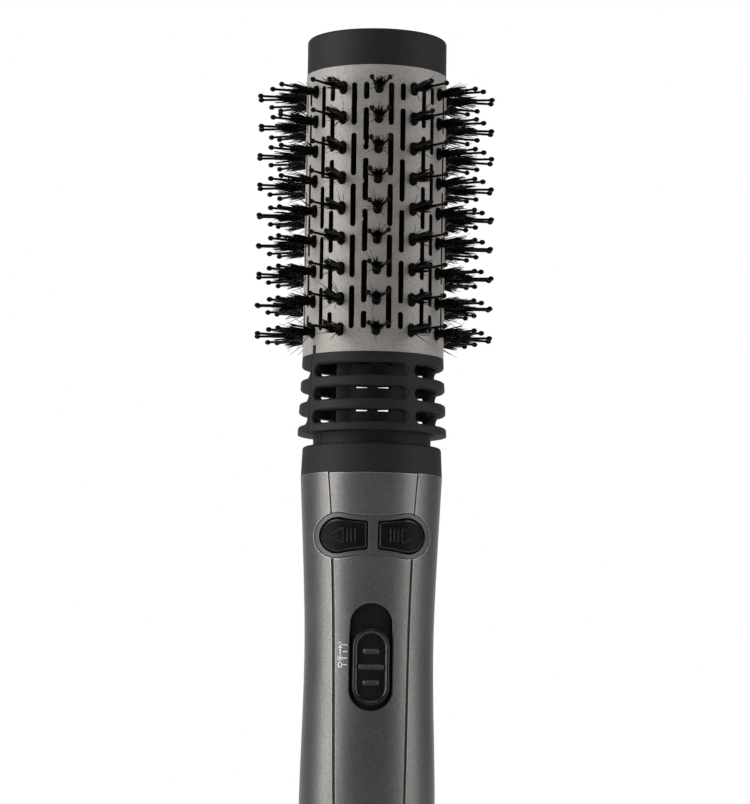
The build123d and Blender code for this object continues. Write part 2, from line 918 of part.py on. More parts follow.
def make_shell_screws():
    """The two screws that hold the handle's halves together."""
    screws = []
    face = shell_screw_head_face()
    for height in shell_screw_heights:
        shank = front_post(shell_screw_radius, 0, height, -face, shell_screw_tip())
        head = front_post(shell_screw_head_radius, 0, height, -face - shell_screw_head_height, -face)
        drive = Pos(0, face + shell_screw_head_height, height)
        cross = drive * Box(2.6, 1.4, 0.6) + drive * Box(0.6, 1.4, 2.6)
        screws.append(shank + head - cross)
    return Compound(screws)


def recess_edges(panel):
    """The outer edges of the slide switch's window in the panel."""
    outward = [face for face in panel.faces() if face.normal_at().Y < -0.5]
    face = ShapeList(outward).sort_by(SortBy.AREA)[-1]
    return [
        edge
        for edge in face.edges()
        if abs(edge.center().X) < recess_width / 2 + 0.1
        and recess_bottom - 0.5 < edge.center().Z < recess_top + 0.5
        and edge_radius(edge) > handle_waist_radius - 0.3
    ]


def make_control_fascia():
    """The inlaid front panel, with the bezel's seat and the slide switch's window."""
    panel = handle_body(0) - handle_body(fascia_thickness)
    panel &= front_prism(fascia_outline(0), 2.0, 30.0)
    panel -= slab(handle_height - 0.2, handle_height + 5, 60)
    panel -= front_prism(bezel_outline(0.2)) & (handle_body(-2) - handle_body(bezel_depth + 0.05))
    opening = button_outline(0)
    panel -= front_prism(opening)
    panel -= front_prism(mirror(opening, Plane.YZ))
    panel -= front_prism(stadium(recess_width, recess_bottom, recess_top))
    return fillet(recess_edges(panel), recess_edge)


def make_button_bezel():
    """The bow-tie frame with its two openings."""
    frame = (handle_body(-bezel_rise) - handle_body(bezel_depth)) & front_prism(bezel_outline(0))
    frame = fillet(frame.faces().sort_by(Axis.Y)[0].edges(), bezel_edge)
    opening = button_outline(0)
    frame -= front_prism(opening)
    frame -= front_prism(mirror(opening, Plane.YZ))
    return frame


def plunger_tip():
    """How far in front of the axis the push switches' plungers end."""
    return board_front + tact_depth + plunger_height


def make_right_button():
    """The right-hand direction button with the stem behind it."""
    body = handle_body(-button_rise) - handle_body(button_thickness)
    body &= front_prism(button_outline(button_gap))
    body = fillet(body.faces().sort_by(Axis.Y)[0].edges(), button_edge)
    stem_start = plunger_tip() + button_travel + free_gap
    stem = front_post(button_stem_radius, tact_spread, button_height, stem_start, 30)
    return body + (stem & handle_body(button_thickness - 0.8))


def make_slide_knob():
    """The slide switch's knob: a raised rim round a sunk, ridged face, and a stem."""
    bottom = knob_centre_height - knob_length / 2
    top = knob_centre_height + knob_length / 2
    surface = handle_waist_radius
    under = surface - fascia_thickness - track_sink + 2 * free_gap
    crown = surface + knob_rise
    shell = tube(crown, under, bottom - 5, top + 5)
    body = shell & front_prism(stadium(knob_width, bottom, top))
    body = fillet(body.faces().sort_by(Axis.Y)[0].edges(), knob_edge)
    sunk = stadium(knob_width - 2 * knob_rim, bottom + knob_rim, top - knob_rim)
    body -= tube(crown + 2, crown - knob_sink, bottom - 5, top + 5) & front_prism(sunk)
    ridge_ring = tube(crown - 0.1, crown - knob_sink - 0.3, bottom - 5, top + 5)
    for step, length in ((-1, short_ridge), (0, long_ridge), (1, short_ridge)):
        height = knob_centre_height + step * ridge_pitch
        bar = Pos(0, height) * Rectangle(length, ridge_thickness)
        body += ridge_ring & front_prism(bar)
    stem = Pos(0, knob_centre_height) * Rectangle(knob_stem_width, knob_stem_length)
    stem_near = board_front + switch_body_depth + free_gap
    return body + front_prism(stem, stem_near, under + 0.3)


def make_switch_track():
    """The curved plate that the knob slides on."""
    outer = fascia_thickness + track_sink
    ring = handle_body(outer) - handle_body(track_inset())
    plate = ring & front_prism(track_outline(0))
    return plate - front_prism(stem_slot())


def make_control_pcb():
    """The circuit board behind the controls."""
    height = board_top - board_bottom
    board = Pos(0, -(board_front + board_back) / 2, (board_top + board_bottom) / 2)
    board = board * Box(board_width, board_thickness, height)
    for side in (-1, 1):
        for level in board_post_heights:
            hole = front_post(board_screw_radius + 0.2, side * board_post_spread, level, 0, 16)
            board -= hole
    board -= front_post(shell_boss_radius + 0.3, 0, shell_screw_heights[1], 0, 16)
    return board


def make_pcb_screws():
    """The four screws that hold the board to the front shell."""
    screws = []
    for side in (-1, 1):
        for level in board_post_heights:
            x = side * board_post_spread
            shank = front_post(board_screw_radius, x, level, board_back, 15.5)
            head_near = board_back - board_screw_head_height
            head = front_post(board_screw_head_radius, x, level, head_near, board_back)
            screws.append(shank + head)
    return Compound(screws)


def make_tact_switches():
    """The two push switches behind the buttons."""
    switches = []
    for side in (-1, 1):
        centre = Pos(side * tact_spread, -(board_front + tact_depth / 2), button_height)
        body = centre * Box(tact_size, tact_depth, tact_size)
        plunger = front_post(
            plunger_radius, side * tact_spread, button_height, board_front, plunger_tip()
        )
        switches.append(body + plunger)
    return Compound(switches)


def make_slide_switch():
    """The switch body on the board behind the knob."""
    middle = (switch_body_bottom + switch_body_top) / 2
    body = Pos(0, -(board_front + switch_body_depth / 2), middle)
    body = body * Box(switch_body_width, switch_body_depth, switch_body_top - switch_body_bottom)
    slot_height = knob_travel + knob_stem_length + 2.0
    slot_middle = knob_centre_height + knob_travel / 2
    slot = Pos(0, -(board_front + switch_body_depth), slot_middle) * Box(3.0, 2.0, slot_height)
    return body - slot


def make_heater_core():
    """Two crossed mica boards, wide at their ends where the sleeve holds them."""
    middle = (heater_bottom + heater_top) / 2
    length = heater_top - heater_bottom
    narrow = 2 * (coil_radius - coil_wire_radius - 0.1)
    wide = 2 * (sleeve_radius - sleeve_wall - seat_gap)
    tab = 4.0
    board = Pos(0, 0, middle) * Box(narrow, mica_thickness, length - 2)
    for level in (heater_bottom + 1 + tab / 2, heater_top - 1 - tab / 2):
        board += Pos(0, 0, level) * Box(wide - 0.1, mica_thickness, tab)
    return Pos(0, heater_offset, 0) * (board + Rot(0, 0, 90) * board)


def make_heater_coil():
    """The resistance wire wound round the mica boards."""
    bottom = heater_bottom + 7.0
    height = heater_top - heater_bottom - 14.0
    path = Helix(coil_pitch, height, coil_radius)
    start = Plane(origin=path @ 0, z_dir=path % 0)
    wire = sweep(start * Circle(coil_wire_radius), path=path, is_frenet=True)
    return Pos(0, heater_offset, bottom) * wire


def make_heater_sleeve():
    """The insulating tube round the heater."""
    return tube(
        sleeve_radius, sleeve_radius - sleeve_wall, heater_bottom, heater_top, 0, heater_offset
    )


def make_heater_mount(bottom, has_board):
    """A bulkhead in the handle that holds the heater's sleeve."""
    plate = handle_body(handle_wall + seat_gap, bottom, bottom + mount_thickness)
    plate -= post(sleeve_radius + seat_gap, bottom - 1, bottom + mount_thickness + 1, 0, heater_offset)
    if has_board:
        cut = 20 + board_back - 1.2
        plate -= Pos(0, -cut, bottom) * Box(80, 40, 20)
    return plate


def make_thermostat():
    """The bimetal cut-out on the mica boards."""
    inset = mica_thickness / 2 + 0.05
    return Pos(inset + 2.3, heater_offset + inset + 1.8, heater_top - 16) * Box(4.6, 3.6, 9)


def make_thermal_fuse():
    """The one-shot fuse on the other side of the boards."""
    offset = mica_thickness / 2 + 0.05 + 1.5
    body = post(1.5, heater_top - 21, heater_top - 12, -offset, heater_offset - offset)
    return body


def make_blower_motor():
    """The motor that drives the fan, with a bearing nose on each end."""
    top = blower_bottom + blower_height
    can = post(blower_radius, blower_bottom, top)
    can = fillet(can.edges().filter_by(GeomType.CIRCLE), blower_edge)
    nose = post(4.0, blower_bottom - 2.0, top + 2.0)
    bore = post(fan_shaft_radius + shaft_clearance, blower_bottom - 3, blower_bottom + 8)
    return can + nose - bore


def make_motor_cradle():
    """The ring of guide vanes that holds the blower motor in the handle."""
    top = cradle_bottom + cradle_height
    sleeve = post(blower_radius + cradle_wall, cradle_bottom, top)
    outer = handle_body(handle_wall + seat_gap, cradle_bottom, top)
    rim = outer - handle_body(handle_wall + cradle_wall)
    vane = Pos(handle_grip_radius / 2, 0, (cradle_bottom + top) / 2)
    vane = vane * Box(handle_grip_radius, vane_thickness, cradle_height)
    vane &= outer
    cradle = sleeve + rim
    for index in range(vane_count):
        cradle += Rot(0, 0, index * 360 / vane_count) * vane
    return cradle - post(blower_radius + seat_gap, cradle_bottom - 1, top + 1)


def make_fan_impeller():
    """The axial fan below the blower motor."""
    top = fan_bottom + fan_height
    tip = handle_foot_radius - handle_wall - fan_tip_gap
    middle = (fan_bottom + top) / 2
    blade_length = tip + 2 - fan_hub_radius / 2
    blade = Box(blade_length, fan_blade_thickness, fan_height / math.cos(math.radians(fan_blade_angle)))
    blade = Pos(fan_hub_radius / 2 + blade_length / 2, 0, middle) * Rot(fan_blade_angle, 0, 0) * blade
    fan = post(fan_hub_radius, fan_bottom, top)
    keep = post(tip, fan_bottom, top)
    blades = [Rot(0, 0, index * 360 / fan_blades) * (blade & keep) for index in range(fan_blades)]
    fan = fan.fuse(*blades)
    return fan - post(fan_shaft_radius + 0.02, fan_bottom - 1, top + 1)


def make_fan_shaft():
    """The blower's shaft."""
    return post(fan_shaft_radius, fan_bottom - 1.0, blower_bottom + 7.0)


def foot_outer(inset, bottom, top):
    """The foot's outside, which carries on the handle's line."""
    return handle_body(inset, bottom, top)


def make_base_cap():
    """The slotted foot that lets air in and carries the cord swivel."""
    outside = foot_outer(0, 0, foot_height)
    outside = fillet(outside.edges().group_by(Axis.Z)[0], foot_edge)
    cap = outside - foot_outer(foot_wall, foot_recess + foot_floor, foot_height + 1)
    rim_inner = handle_foot_radius - foot_edge - standing_rim_width
    cap -= post(rim_inner, -1, foot_recess)
    cap -= post(swivel_radius + running_gap, -1, foot_height)
    slots = []
    for index in range(inlet_slots):
        middle = inlet_slot_bottom + inlet_slot_height / 2
        outline = Pos(0, middle) * SlotOverall(inlet_slot_height, inlet_slot_width, rotation=90)
        angle = (index + 0.5) * 360 / inlet_slots
        slots.append(Rot(0, 0, angle) * front_prism(outline, handle_foot_radius - 5, 25))
    cap = cap.cut(*slots)
    root = foot_outer(foot_wall - 0.3, foot_height - foot_lap, foot_height)
    tongue = handle_body(handle_wall + seat_gap, foot_height - 1, foot_height + foot_lap)
    collar = root + tongue - handle_body(handle_wall + foot_lap_wall)
    return cap + collar


def make_inlet_filter():
    """The round mesh over the fan's inlet."""
    inset = handle_wall + foot_lap_wall + seat_gap
    disc = handle_body(inset, filter_height, filter_height + filter_thickness)
    holes = []
    reach = handle_foot_radius - handle_wall - 4.0
    rings = int(reach / filter_hole_pitch)
    for ring in range(1, rings + 1):
        radius = ring * filter_hole_pitch
        count = 6 * ring
        for index in range(count):
            angle = math.radians(index * 360 / count)
            x = radius * math.cos(angle)
            y = radius * math.sin(angle)
            holes.append(post(filter_hole_radius, filter_height - 1, filter_height + 2, x, y))
    return disc.cut(*holes)


def make_cord_swivel():
    """The turning gland that a mains cord comes out of."""
    bottom = foot_recess - swivel_flange_height - 0.1
    body = post(swivel_radius, bottom, bottom + swivel_length)
    flange = post(swivel_flange_radius, bottom, bottom + swivel_flange_height)
    return body + flange - post(cord_hole_radius, bottom - 1, bottom + swivel_length + 1)


def make_swivel_clip():
    """The ring that keeps the swivel in the foot."""
    bottom = foot_recess + foot_floor + 0.2
    return tube(swivel_clip_radius, swivel_radius + 0.02, bottom, bottom + swivel_clip_height)


def write(name, shape):
    """Write one node's file."""
    export_step(shape, os.path.join("parts", name + ".step"))


def main():
    """Build every piece and write its file."""
    os.makedirs("parts", exist_ok=True)
    cage_front, cage_rear = make_cage_halves()
    right_button = make_right_button()
    pieces = {
        "end_cap": make_end_cap(),
        "barrel": make_barrel(),
        "vent_cage_front": cage_front,
        "vent_cage_rear": cage_rear,
        "barrel_hub": make_barrel_hub(),
        "brush_core": make_brush_core(),
        "drive_shaft": make_drive_shaft(),
        "output_gear": make_output_gear(),
        "drive_pinion": make_drive_pinion(),
        "gear_plate": make_gear_plate(),
        "shaft_bush": make_shaft_bush(),
        "spin_gearbox": make_spin_gearbox(),
        "spin_motor": make_spin_motor(),
        "neck_retainer": make_neck_retainer(),
        "neck_bush": make_neck_bush(),
        "top_collar": make_top_collar(),
        "front_shell": make_front_shell(),
        "rear_shell": make_rear_shell(),
        "control_fascia": make_control_fascia(),
        "button_bezel": make_button_bezel(),
        "right_button": right_button,
        "left_button": mirror(right_button, Plane.YZ),
        "slide_knob": make_slide_knob(),
        "switch_track": make_switch_track(),
        "control_pcb": make_control_pcb(),
        "slide_switch": make_slide_switch(),
        "heater_core": make_heater_core(),
        "heater_coil": make_heater_coil(),
        "heater_sleeve": make_heater_sleeve(),
        "heater_mount_lower": make_heater_mount(heater_bottom, False),
        "heater_mount_upper": make_heater_mount(heater_top - 3.0, True),
        "thermostat": make_thermostat(),
        "thermal_fuse": make_thermal_fuse(),
        "blower_motor": make_blower_motor(),
        "motor_cradle": make_motor_cradle(),
        "fan_impeller": make_fan_impeller(),
        "fan_shaft": make_fan_shaft(),
        "base_cap": make_base_cap(),
        "inlet_filter": make_inlet_filter(),
        "cord_swivel": make_cord_swivel(),
        "swivel_clip": make_swivel_clip(),
        "shell_screws": make_shell_screws(),
        "pcb_screws": make_pcb_screws(),
        "tact_switches": make_tact_switches(),
    }
    strip = make_bristle_strip()
    for column in range(columns):
        name = f"bristle_strip_{column + 1:02d}"
        pieces[name] = Rot(0, 0, column * 360 / columns) * strip
    for name, shape in pieces.items():
        write(name, shape)


main()
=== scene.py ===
import json
import math
import random

import bmesh
import bpy
from mathutils import Matrix, Vector
from mathutils.bvhtree import BVHTree


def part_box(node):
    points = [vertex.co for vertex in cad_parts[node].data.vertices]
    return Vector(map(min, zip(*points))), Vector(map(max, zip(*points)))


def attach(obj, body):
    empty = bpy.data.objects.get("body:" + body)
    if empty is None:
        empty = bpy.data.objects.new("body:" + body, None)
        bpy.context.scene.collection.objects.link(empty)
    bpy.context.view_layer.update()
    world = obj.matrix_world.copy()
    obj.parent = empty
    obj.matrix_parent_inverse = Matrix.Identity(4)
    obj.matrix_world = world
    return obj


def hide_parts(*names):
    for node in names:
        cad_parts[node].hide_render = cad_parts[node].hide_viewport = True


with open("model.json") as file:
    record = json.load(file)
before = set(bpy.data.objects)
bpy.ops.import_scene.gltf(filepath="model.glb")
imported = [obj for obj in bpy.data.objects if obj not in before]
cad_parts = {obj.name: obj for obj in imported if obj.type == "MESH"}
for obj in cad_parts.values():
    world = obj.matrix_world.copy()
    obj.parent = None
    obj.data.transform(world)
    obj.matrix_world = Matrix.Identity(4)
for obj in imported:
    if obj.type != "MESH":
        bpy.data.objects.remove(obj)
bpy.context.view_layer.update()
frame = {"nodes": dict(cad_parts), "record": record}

MM = 0.001

# Camera: where the viewer stands and looks, in millimetres and degrees
camera_distance = 1000.0
camera_height = 105.0
camera_azimuth = -2.0
camera_roll = 0.8
aim_height = 211.0
aim_shift = 0.8
camera_lens = 147.8
sensor_width = 36.0
# The nearest and furthest that the camera sees, in metres
clip_near = 0.05
clip_far = 30

# Lamps: name, place and size in metres, power in watts
lamp_aim = (0, 0, 0.2)
lamps = (
    ("left_box", (-1.0, -0.3, 0.35), (0.6, 1.3), 18),
    ("right_box", (1.0, -0.3, 0.35), (0.5, 1.3), 8.5),
    ("top_box", (0.0, -0.3, 1.3), (0.7, 0.5), 3),
)

# Room: its light in front and behind, and how far back, from -1 to 1, the change starts and ends
room_front = 0.1
room_back = 1.0
room_change_start = 0.72
room_change_end = 0.95

# Floor: lengths in metres, and the share of white that it shows near the object and far away
floor_size = 6.0
floor_near = 0.15
floor_far = 1.3
floor_white_near = 0.55
floor_white_far = 1.0

# Columns of tufts and the strips that carry them, in millimetres and degrees
columns = 12
tufts_per_column = 9
first_seed = 100
strip_half_angle = 8.9
strip_end = 2.3
backing_inner = 0.02
backing_outer = 1.0
backing_steps = 6

# A tuft's foot and the collar round its hair, in millimetres
foot_half_width = 1.15
foot_half_length = 1.9
foot_sink = 0.5
foot_rise = 0.9
foot_chamfer = 0.3
foot_sides = 20
collar_start = 0.1
collar_end = 1.3
collar_flare_across = 0.05
collar_flare_along = 0.1
collar_flat = 0.02

# A tuft's hairs, in millimetres
hairs_per_tuft = 64
hair_radius = 0.17
hair_sides = 4
hair_reach_low = 6.8
hair_reach_high = 9.8
hair_scatter = 0.4
hair_bow = 0.2
bundle_radius = 1.15
bundle_spread = 0.95
# Shares of the bundle's radius, of its spread and of a hair's radius
hair_root_share = 0.85
hair_spread_low = 0.4
hair_spread_high = 1.2
hair_middle_share = 0.9
hair_tip_share = 0.45

# A tuft's stray hairs, in millimetres
strays_per_tuft = 5
stray_reach_low = 4.5
stray_reach_high = 8.5
stray_spread_low = 2.2
stray_spread_high = 6.0
stray_bow_low = -0.5
stray_bow_high = 0.2
# Shares of the bundle's radius and of a hair's radius
stray_root_share = 0.8
stray_thinness = 0.7

# Ball-tipped pins, in millimetres
pin_radius_root = 0.44
pin_radius_tip = 0.36
pin_sides = 8
pin_root_shift = 0.5
pin_root_rise = 0.4
pin_splay = 2.75
pin_splay_low = -0.25
pin_splay_high = 0.2
pin_lift = 0.3
pin_bow = 0.35
tip_scatter_low = 0.02
tip_scatter_high = 0.5
ball_radius = 0.78
ball_length = 0.92
ball_sides = 14
ball_rows = 9
# Shares of a pin's length between which it bows, and the share of the bow left at the second
bow_start = 0.35
bow_end = 0.7
bow_left = 0.7

# Printed marks beside the slide switch, in millimetres
mark_levels = (130.6, 132.55, 134.5, 136.45)
mark_x = -9.1
mark_height = 1.6
tick_start = -8.35
tick_end = -7.05
tick_thickness = 0.26
figure_thickness = 0.32
flake_thickness = 0.22
print_thickness = 0.03
print_sink = 0.02

# The figures' strokes as shares of a mark's height, and their angles in degrees
zero_half_width = 0.32
zero_half_height = 0.5
zero_step = 30
one_points = ((-0.2, 0.32), (0.02, 0.5), (0.02, -0.5))
two_crown_centre = 0.22
two_crown_half_width = 0.3
two_crown_half_height = 0.28
two_crown_start = 160
two_crown_end = -40
two_crown_step = 25
two_base = ((-0.32, -0.48), (0.34, -0.48))
flake_spokes = 6
flake_turn = 20
flake_spread = 45
flake_reach = 0.57
flake_joint = 0.34
flake_barb = 0.19

# Relief on the direction buttons, in millimetres
button_height = 169.0
bar_positions = (5.3, 6.45, 7.6)
bar_width = 0.5
bar_height = 4.1
arrow_base = 8.8
arrow_tip = 12.9
arrow_half_height = 2.3
relief_height = 0.22
relief_sink = 0.1

# Ridges on the slide knob, in millimetres
knob_centre_height = 130.0
ridge_pitch = 4.65
short_ridge = 4.4
long_ridge = 7.6
ridge_radius = 0.38
ridge_sink = 0.06
ridge_points = 13
ridge_sides = 16
# How far a ridge's radius tapers, and how far out it follows the knob, as shares of its half length
ridge_taper = 0.96
ridge_probe = 0.97

# How far in front of the axis the search for a surface starts, in millimetres
probe_distance = 60

# Edges turning by more degrees than this are drawn crisp
cad_crease = 32
bristle_crease = 40
ridge_crease = 60

# How round the shading makes each sharp edge, and how wide the painted highlight along the lacquer's
# edges is, in millimetres
moulded_edge = 0.25
edge_highlight_width = 0.42
polished_edge = 0.8
edge_samples = 8
# How alike the rounded and the plain normal are where an edge starts and where it is full
edge_start = 0.995
edge_full = 0.93

# How far the painted light in a groove looks for the groove's other wall, in millimetres
groove_reach = 0.8
groove_samples = 8
# How open the surface is where the painted light in a groove starts and where it is full
groove_start = 0.75
groove_full = 0.4

# Fine speckle: how detailed its grain and clouds are, how many grains wide the clouds are and
# their share of the pattern, and how far colour and gloss depart from their middle
speckle_detail = 2.0
cloud_detail = 4.0
cloud_size = 40
cloud_share = 0.1
speckle_contrast = 0.15
speckle_gloss = 0.05

# How far brushed metal's roughness goes below and above its stated value
metal_gloss_below = 0.06
metal_gloss_above = 0.08

# Grain of the painted highlights on the lacquer's edges, of the painted light in its grooves and of
# the painted shade in the barrel's bore and slots, in cells per metre
painted_light_grain = 2600
bore_shade_grain = 1500
# How far inside the barrel's outer face the painted shade in the bore and slots ends and the coat is
# full, in millimetres
coat_start = 0.15
coat_full = 0.05

# The first input, second input and result of a Mix node, by the kind of value that it mixes
mix_sockets = {"FLOAT": (2, 3, 0), "RGBA": (6, 7, 2)}

# Places that the CAD gives, in metres
barrel_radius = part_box("barrel")[1].x
strip_low, strip_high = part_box("bristle_strip_01")
bristle_tip = -strip_low.y
strip_inner = -strip_high.y
strip_bottom = strip_low.z
strip_top = strip_high.z
first_tuft = strip_bottom + strip_end * MM
last_tuft = strip_top - strip_end * MM
tuft_pitch = (last_tuft - first_tuft) / (tufts_per_column - 1)


# Patterns

def noise(tree, vector, scale, detail=3.0, stretch=(1, 1, 1)):
    """A noise pattern; scale is in cells per metre."""
    mapping = tree.nodes.new("ShaderNodeMapping")
    mapping.inputs["Scale"].default_value = stretch
    tree.links.new(vector, mapping.inputs["Vector"])
    node = tree.nodes.new("ShaderNodeTexNoise")
    node.inputs["Scale"].default_value = scale
    node.inputs["Detail"].default_value = detail
    tree.links.new(mapping.outputs["Vector"], node.inputs["Vector"])
    return node.outputs["Fac"]


def ramp(tree, value, dark, light, start=0.3, end=0.7):
    """A colour that runs from dark to light as value goes from start to end."""
    node = tree.nodes.new("ShaderNodeValToRGB")
    node.color_ramp.elements[0].position = start
    node.color_ramp.elements[0].color = (*dark, 1)
    node.color_ramp.elements[1].position = end
    node.color_ramp.elements[1].color = (*light, 1)
    tree.links.new(value, node.inputs["Fac"])
    return node.outputs["Color"]


def remap(tree, value, low, high, start=0.0, end=1.0):
    """A number that runs from low to high as value goes from start to end."""
    node = tree.nodes.new("ShaderNodeMapRange")
    node.inputs["From Min"].default_value = start
    node.inputs["From Max"].default_value = end
    node.inputs["To Min"].default_value = low
    node.inputs["To Max"].default_value = high
    tree.links.new(value, node.inputs["Value"])
    return node.outputs["Result"]


def combine(tree, operation, first, second):
    """Two patterns of numbers joined by an operation."""
    node = tree.nodes.new("ShaderNodeMath")
    node.operation = operation
    tree.links.new(first, node.inputs[0])
    tree.links.new(second, node.inputs[1])
    return node.outputs["Value"]


def vector_length(tree, vector):
    """How long a vector is."""
    node = tree.nodes.new("ShaderNodeVectorMath")
    node.operation = "LENGTH"
    tree.links.new(vector, node.inputs[0])
    return node.outputs["Value"]


def mix_node(tree, kind):
    """A node that mixes numbers or colours, its two inputs and its result."""
    node = tree.nodes.new("ShaderNodeMix")
    node.data_type = kind
    first, second, result = mix_sockets[kind]
    return node, node.inputs[first], node.inputs[second], node.outputs[result]


def blend(tree, share, first_colour, second_colour):
    """One colour pattern giving way to another."""
    node, first, second, result = mix_node(tree, "RGBA")
    tree.links.new(share, node.inputs["Factor"])
    tree.links.new(first_colour, first)
    tree.links.new(second_colour, second)
    return result


def rounded_edges(tree, softness):
    """A normal that turns smoothly over every sharp edge."""
    node = tree.nodes.new("ShaderNodeBevel")
    node.samples = edge_samples
    node.inputs["Radius"].default_value = softness * MM
    return node.outputs["Normal"]


def edge_mask(tree, rounded):
    """One on a rounded edge and nothing on a plain face."""
    geometry = tree.nodes.new("ShaderNodeNewGeometry")
    match = tree.nodes.new("ShaderNodeVectorMath")
    match.operation = "DOT_PRODUCT"
    tree.links.new(rounded, match.inputs[0])
    tree.links.new(geometry.outputs["Normal"], match.inputs[1])
    return remap(tree, match.outputs["Value"], 0, 1, edge_start, edge_full)


# Finishes

def new_material(name, roughness, metallic=0.0):
    """A material with its node tree, its shader and its object-space coordinates."""
    material = bpy.data.materials.new(name)
    material.use_nodes = True
    tree = material.node_tree
    shader = tree.nodes["Principled BSDF"]
    shader.inputs["Roughness"].default_value = roughness
    shader.inputs["Metallic"].default_value = metallic
    coordinates = tree.nodes.new("ShaderNodeTexCoord")
    return material, tree, shader, coordinates.outputs["Object"]


def coloured_parts(material):
    """A finished material's node tree, shader, object-space coordinates and colour."""
    tree = material.node_tree
    shader = tree.nodes["Principled BSDF"]
    place = tree.nodes["Texture Coordinate"].outputs["Object"]
    colour = shader.inputs["Base Color"].links[0].from_socket
    return tree, shader, place, colour


def bump(tree, shader, height, depth, strength=1.0, softness=moulded_edge):
    """Relief of a given depth in metres over rounded edges, whose normal it returns."""
    rounded = rounded_edges(tree, softness)
    node = tree.nodes.new("ShaderNodeBump")
    node.inputs["Distance"].default_value = depth
    node.inputs["Strength"].default_value = strength
    tree.links.new(height, node.inputs["Height"])
    tree.links.new(rounded, node.inputs["Normal"])
    tree.links.new(node.outputs["Normal"], shader.inputs["Normal"])
    return rounded


def speckled_finish(name, dark, light, metallic, roughness, grain, depth, specular=0.5):
    """A lacquer or moulded surface with fine grain in colour, gloss and relief."""
    material, tree, shader, place = new_material(name, roughness, metallic)
    shader.inputs["Specular IOR Level"].default_value = specular
    speckle = noise(tree, place, grain, speckle_detail)
    clouds = noise(tree, place, grain / cloud_size, cloud_detail)
    node, first, second, mixed = mix_node(tree, "FLOAT")
    node.inputs["Factor"].default_value = cloud_share
    tree.links.new(speckle, first)
    tree.links.new(clouds, second)
    colour = ramp(tree, mixed, dark, light, 0.5 - speckle_contrast, 0.5 + speckle_contrast)
    tree.links.new(colour, shader.inputs["Base Color"])
    gloss = remap(tree, clouds, roughness - speckle_gloss, roughness + speckle_gloss)
    tree.links.new(gloss, shader.inputs["Roughness"])
    bump(tree, shader, speckle, depth)
    return material


def painted_edge_highlights(material, dark, light):
    """Painted highlights on a lacquer's edges: a paler colour laid along every sharp edge."""
    tree, shader, place, flat_colour = coloured_parts(material)
    edge_highlight_colour = ramp(tree, noise(tree, place, painted_light_grain), dark, light)
    mask = edge_mask(tree, rounded_edges(tree, edge_highlight_width))
    tree.links.new(blend(tree, mask, flat_colour, edge_highlight_colour), shader.inputs["Base Color"])


def painted_groove_light(material, dark, light):
    """Painted light in a lacquer's narrow grooves: a paler colour where the surface is hemmed in."""
    tree, shader, place, open_colour = coloured_parts(material)
    groove_light_colour = ramp(tree, noise(tree, place, painted_light_grain), dark, light)
    cover = tree.nodes.new("ShaderNodeAmbientOcclusion")
    cover.samples = groove_samples
    cover.inputs["Distance"].default_value = groove_reach * MM
    mask = remap(tree, cover.outputs["AO"], 0, 1, groove_start, groove_full)
    tree.links.new(blend(tree, mask, open_colour, groove_light_colour), shader.inputs["Base Color"])


def painted_bore_shade(material, radius, dark, light):
    """A coat on the outer face, with painted shade, a near-black colour, in the bore and on the slot
    walls.
    """
    tree, shader, place, coat = coloured_parts(material)
    level = tree.nodes.new("ShaderNodeVectorMath")
    level.operation = "MULTIPLY"
    level.inputs[1].default_value = (1, 1, 0)
    tree.links.new(place, level.inputs[0])
    reach = vector_length(tree, level.outputs["Vector"])
    outside = remap(tree, reach, 0, 1, radius - coat_start * MM, radius - coat_full * MM)
    bore_shade_colour = ramp(tree, noise(tree, place, bore_shade_grain), dark, light)
    tree.links.new(blend(tree, outside, bore_shade_colour, coat), shader.inputs["Base Color"])


def metallic_paint():
    """Titanium-grey metallic lacquer."""
    material = speckled_finish(
        "metallic_paint",
        dark=(0.074, 0.072, 0.0695),
        light=(0.134, 0.13, 0.1255),
        metallic=0.9,
        roughness=0.41,
        grain=3200,
        depth=0.00002,
    )
    # Painted highlights: a paler colour along the lacquer's sharp edges
    painted_edge_highlights(material, dark=(0.22, 0.213, 0.203), light=(0.34, 0.328, 0.312))
    # Painted light: a paler colour in the narrow grooves
    painted_groove_light(material, dark=(0.27, 0.262, 0.25), light=(0.4, 0.387, 0.37))
    return material


def bezel_paint():
    """Darker, flatter lacquer of the frame round the buttons."""
    return speckled_finish(
        "bezel_paint",
        dark=(0.047, 0.045, 0.043),
        light=(0.084, 0.081, 0.077),
        metallic=0.5,
        roughness=0.48,
        grain=2800,
        depth=0.00003,
    )


def barrel_coat():
    """Champagne-grey coating on the barrel."""
    material = speckled_finish(
        "barrel_coat",
        dark=(0.226, 0.209, 0.194),
        light=(0.372, 0.344, 0.318),
        metallic=0.25,
        roughness=0.62,
        grain=2800,
        depth=0.00003,
    )
    # Painted shade: a near-black colour in the bore and on the slot walls
    painted_bore_shade(material, barrel_radius, dark=(0.006, 0.006, 0.006), light=(0.014, 0.014, 0.014))
    return material


def satin_black():
    """Fine-grained dark plastic of the cap, cage and collar."""
    return speckled_finish(
        "satin_black",
        dark=(0.0035, 0.0035, 0.0045),
        light=(0.0125, 0.0125, 0.015),
        metallic=0.0,
        roughness=0.66,
        grain=2800,
        depth=0.00005,
        specular=0.24,
    )


def inner_black():
    """Heat-proof plastic of the inner mouldings."""
    return speckled_finish(
        "inner_black",
        dark=(0.006, 0.006, 0.006),
        light=(0.012, 0.012, 0.012),
        metallic=0.0,
        roughness=0.65,
        grain=2600,
        depth=0.00004,
        specular=0.25,
    )


def gear_plastic():
    """Natural acetal."""
    return speckled_finish(
        "gear_plastic",
        dark=(0.62, 0.61, 0.56),
        light=(0.72, 0.71, 0.66),
        metallic=0.0,
        roughness=0.42,
        grain=2600,
        depth=0.00001,
    )


